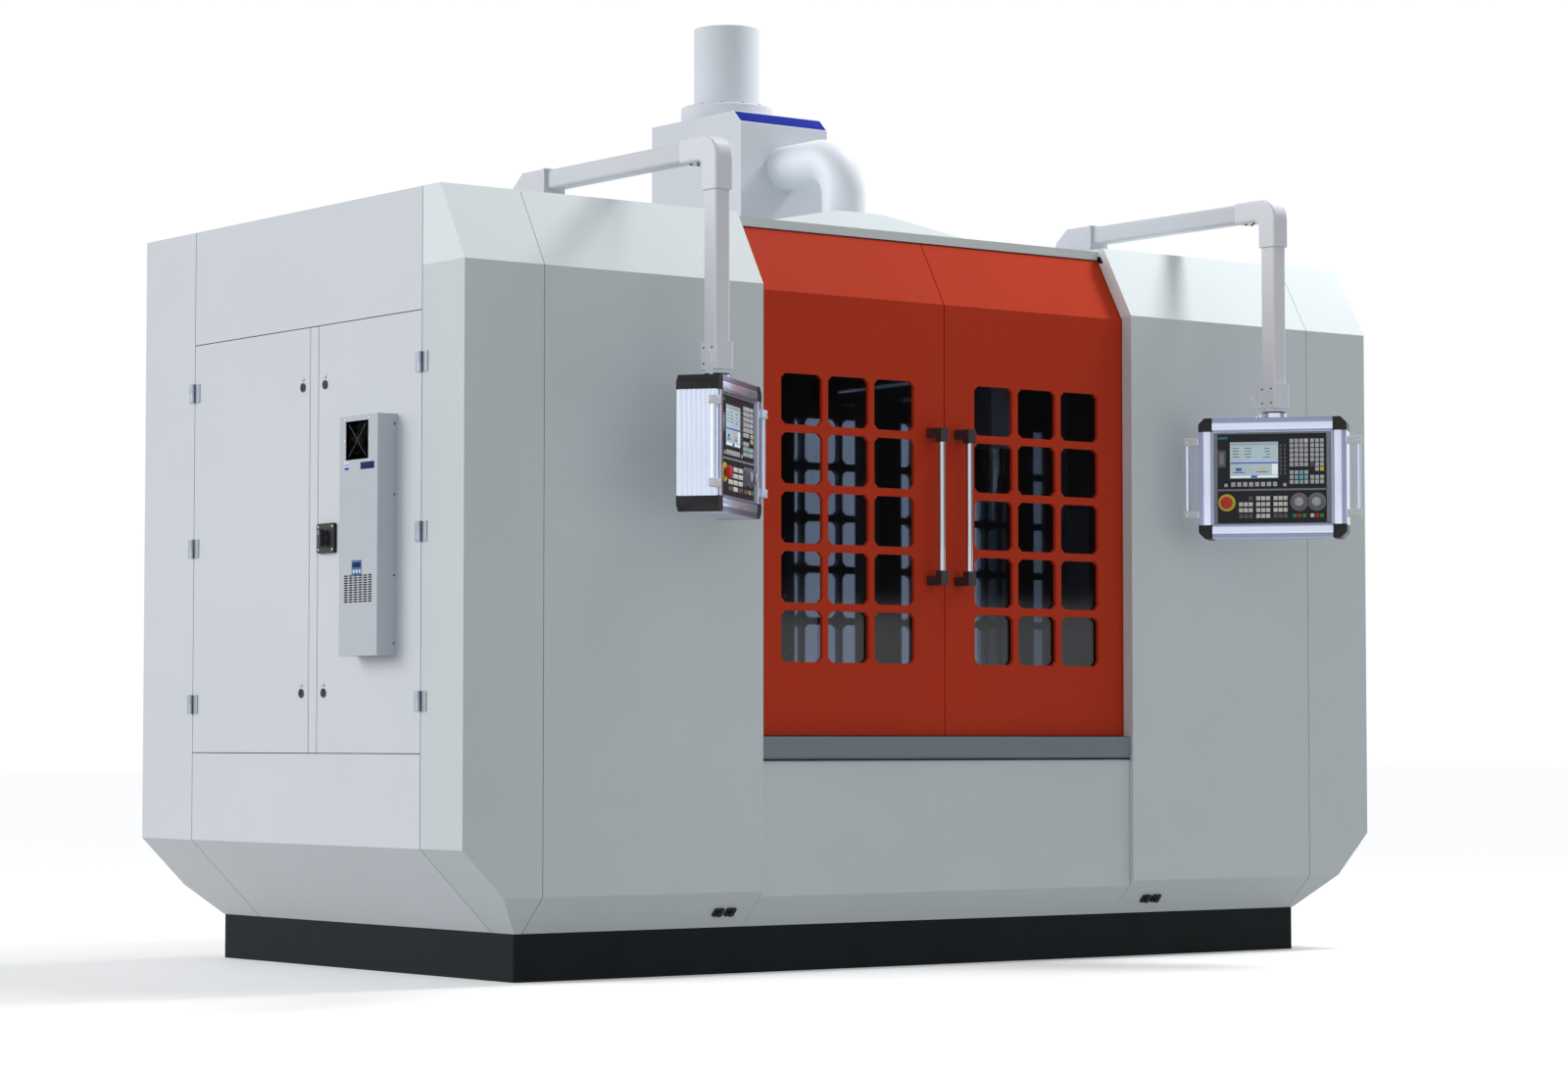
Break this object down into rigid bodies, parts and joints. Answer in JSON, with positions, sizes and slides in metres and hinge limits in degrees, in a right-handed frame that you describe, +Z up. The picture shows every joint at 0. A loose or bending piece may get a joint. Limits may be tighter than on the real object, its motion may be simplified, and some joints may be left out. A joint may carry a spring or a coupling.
{
  "type": "cnc router",
  "caption": "Enclosed gantry CNC machining centre with sliding window doors, swing-arm operator panels, electrical cabinet, roof suction box and a moving bridge with a spindle.",
  "frame": {"origin": "centre of the plinth's underside, where the machine stands on the floor", "axes": "+Z up, -Y towards the operator and the sliding doors, +X to the operator's right; the electrical cabinet is at -X"},
  "size_m": [4.38, 2.8991, 3.675],
  "materials": {
    "panel_grey": "satin",
    "panel_light": "satin",
    "roof_light": "satin",
    "plinth_dark": "satin",
    "sill_grey": "satin",
    "door_orange": "gloss",
    "arm_grey": "satin",
    "duct_light": "satin",
    "dark_glass": "polished",
    "handle_chrome": "polished",
    "zinc": "satin",
    "black_plastic": "satin",
    "grey_plastic": "satin",
    "red_plastic": "gloss",
    "case_aluminium": "satin",
    "keypad_black": "satin",
    "cast_bed": "matte",
    "table_steel": "satin",
    "frame_steel": "satin",
    "ground_steel": "polished",
    "cabinet_plate": "satin"
  },
  "bodies": {
    "machine": {"base_plinth": "plinth_dark", "front_tower_panels": "panel_grey", "left_side_panels": "panel_light", "right_side_panels": "panel_light", "rear_panels": "panel_light", "roof_panels": "roof_light", "front_apron": "panel_grey", "door_sill": "sill_grey", "rear_window_wall": "sill_grey", "rear_window_glass": "dark_glass", "cabinet_hinge_posts": "zinc", "cabinet_interior": "cabinet_plate", "roof_hood": "duct_light", "suction_duct": "duct_light", "mist_collector": "duct_light", "exhaust_stack": "duct_light", "arm_bases": "zinc", "bulkhead_connectors": "black_plastic", "machine_bed": "cast_bed", "t_slot_table": "table_steel", "gantry_runways": "frame_steel", "y_axis_motor": "black_plastic"},
    "left_door": {"left_door_leaf": "door_orange", "left_door_glass": "dark_glass", "left_door_handle": "handle_chrome"},
    "right_door": {"right_door_leaf": "door_orange", "right_door_glass": "dark_glass", "right_door_handle": "handle_chrome"},
    "bridge": {"gantry_bridge": "frame_steel"},
    "saddle": {"x_saddle": "frame_steel"},
    "ram": {"z_ram": "panel_light"},
    "spindle_shaft": {"spindle": "ground_steel"},
    "y_screw": {"y_ball_screw": "ground_steel"},
    "x_screw": {"x_ball_screw": "ground_steel"},
    "cabinet_front": {"cabinet_front_door": "panel_light", "cooling_unit": "panel_light", "isolator_plate": "black_plastic"},
    "cabinet_rear": {"cabinet_rear_door": "panel_light"},
    "isolator": {"isolator_handle": "black_plastic"},
    "fan": {"cooling_fan": "black_plastic"},
    "lock_front_upper": {"cabinet_lock_front_upper": "zinc"},
    "lock_front_lower": {"cabinet_lock_front_lower": "zinc"},
    "lock_rear_upper": {"cabinet_lock_rear_upper": "zinc"},
    "lock_rear_lower": {"cabinet_lock_rear_lower": "zinc"},
    "left_arm": {"left_arm_beam": "arm_grey", "left_arm_post": "arm_grey"},
    "left_lever": {"left_clamp_lever": "black_plastic"},
    "left_panel": {"left_panel_case": "case_aluminium", "left_panel_face": "keypad_black"},
    "left_stop": {"left_stop_button": "red_plastic"},
    "left_feed": {"left_feed_knob": "grey_plastic"},
    "left_speed": {"left_speed_knob": "grey_plastic"},
    "right_arm": {"right_arm_beam": "arm_grey", "right_arm_post": "arm_grey"},
    "right_lever": {"right_clamp_lever": "black_plastic"},
    "right_panel": {"right_panel_case": "case_aluminium", "right_panel_face": "keypad_black"},
    "right_stop": {"right_stop_button": "red_plastic"},
    "right_feed": {"right_feed_knob": "grey_plastic"},
    "right_speed": {"right_speed_knob": "grey_plastic"}
  },
  "joints": [
    {"name": "left_door_slide", "type": "slide", "parent": "machine", "child": "left_door", "axis": [-1, 0, 0], "range_m": [0, 0.785]},
    {"name": "right_door_slide", "type": "slide", "parent": "machine", "child": "right_door", "axis": [1, 0, 0], "range_m": [0, 0.785]},
    {"name": "bridge_slide", "type": "slide", "parent": "machine", "child": "bridge", "axis": [0, 1, 0], "range_m": [-0.1, 0.85]},
    {"name": "saddle_slide", "type": "slide", "parent": "bridge", "child": "saddle", "axis": [1, 0, 0], "range_m": [-1.2, 0.04]},
    {"name": "ram_slide", "type": "slide", "parent": "saddle", "child": "ram", "axis": [0, 0, 1], "range_m": [-0.6, 0]},
    {"name": "spindle_spin", "type": "hinge", "parent": "ram", "child": "spindle_shaft", "pos_m": [0.566, -0.69, 1.9], "axis": [0, 0, 1], "continuous": true},
    {"name": "y_screw_spin", "type": "hinge", "parent": "machine", "child": "y_screw", "pos_m": [0.79, -0.3, 2.29], "axis": [0, 1, 0], "continuous": true},
    {"name": "x_screw_spin", "type": "hinge", "parent": "bridge", "child": "x_screw", "pos_m": [0, -0.462, 2.54], "axis": [1, 0, 0], "continuous": true},
    {"name": "cabinet_front_hinge", "type": "hinge", "parent": "machine", "child": "cabinet_front", "pos_m": [-2.158, -0.868, 1.546], "axis": [0, 0, 1], "range_deg": [0, 110]},
    {"name": "cabinet_rear_hinge", "type": "hinge", "parent": "machine", "child": "cabinet_rear", "pos_m": [-2.158, 0.732, 1.546], "axis": [0, 0, -1], "range_deg": [0, 110]},
    {"name": "lock_front_upper_turn", "type": "hinge", "parent": "cabinet_front", "child": "lock_front_upper", "pos_m": [-2.14, -0.222, 2.096], "axis": [-1, 0, 0], "range_deg": [0, 90]},
    {"name": "lock_front_lower_turn", "type": "hinge", "parent": "cabinet_front", "child": "lock_front_lower", "pos_m": [-2.14, -0.222, 0.998], "axis": [-1, 0, 0], "range_deg": [0, 90]},
    {"name": "lock_rear_upper_turn", "type": "hinge", "parent": "cabinet_rear", "child": "lock_rear_upper", "pos_m": [-2.14, -0.067, 2.096], "axis": [1, 0, 0], "range_deg": [0, 90]},
    {"name": "lock_rear_lower_turn", "type": "hinge", "parent": "cabinet_rear", "child": "lock_rear_lower", "pos_m": [-2.14, -0.067, 0.998], "axis": [1, 0, 0], "range_deg": [0, 90]},
    {"name": "isolator_turn", "type": "hinge", "parent": "cabinet_front", "child": "isolator", "pos_m": [-2.17, -0.2465, 1.547], "axis": [-1, 0, 0], "range_deg": [0, 90]},
    {"name": "fan_spin", "type": "hinge", "parent": "cabinet_front", "child": "fan", "pos_m": [-2.2, -0.573, 1.8735], "axis": [1, 0, 0], "continuous": true},
    {"name": "left_arm_swing", "type": "hinge", "parent": "machine", "child": "left_arm", "pos_m": [-1.329, -0.34, 2.8], "axis": [0, 0, -1], "range_deg": [0, 25]},
    {"name": "left_panel_swivel", "type": "hinge", "parent": "left_arm", "child": "left_panel", "pos_m": [-1.329, -1.461, 2.09], "axis": [0, 0, 1], "range_deg": [-38, 12]},
    {"name": "left_lever_turn", "type": "hinge", "parent": "left_panel", "child": "left_lever", "pos_m": [-1.38228, -1.50164, 2.073], "axis": [0.6211, -0.7837, 0], "range_deg": [-18, 42]},
    {"name": "left_stop_push", "type": "slide", "parent": "left_panel", "child": "left_stop", "axis": [-0.6211, 0.7837, 0], "range_m": [0, 0.004]},
    {"name": "left_feed_turn", "type": "hinge", "parent": "left_panel", "child": "left_feed", "pos_m": [-1.19937, -1.46034, 1.739], "axis": [0.6211, -0.7837, 0], "range_deg": [-135, 135]},
    {"name": "left_speed_turn", "type": "hinge", "parent": "left_panel", "child": "left_speed", "pos_m": [-1.14726, -1.41903, 1.739], "axis": [0.6211, -0.7837, 0], "range_deg": [-135, 135]},
    {"name": "right_arm_swing", "type": "hinge", "parent": "machine", "child": "right_arm", "pos_m": [1.329, -0.34, 2.8], "axis": [0, 0, 1], "range_deg": [0, 25]},
    {"name": "right_panel_swivel", "type": "hinge", "parent": "right_arm", "child": "right_panel", "pos_m": [1.329, -1.461, 2.09], "axis": [0, 0, 1], "range_deg": [-2, 50]},
    {"name": "right_lever_turn", "type": "hinge", "parent": "right_panel", "child": "right_lever", "pos_m": [1.28689, -1.40887, 2.073], "axis": [-0.766, -0.6428, 0], "range_deg": [-18, 42]},
    {"name": "right_stop_push", "type": "slide", "parent": "right_panel", "child": "right_stop", "axis": [0.766, 0.6428, 0], "range_m": [0, 0.004]},
    {"name": "right_feed_turn", "type": "hinge", "parent": "right_panel", "child": "right_feed", "pos_m": [1.33328, -1.59056, 1.739], "axis": [-0.766, -0.6428, 0], "range_deg": [-135, 135]},
    {"name": "right_speed_turn", "type": "hinge", "parent": "right_panel", "child": "right_speed", "pos_m": [1.37603, -1.6415, 1.739], "axis": [-0.766, -0.6428, 0], "range_deg": [-135, 135]}
  ],
  "couplings": [
    {"joint": "x_screw_spin", "follows": "saddle_slide", "rad_per_m": 314.16},
    {"joint": "y_screw_spin", "follows": "bridge_slide", "rad_per_m": 314.16}
  ]
}
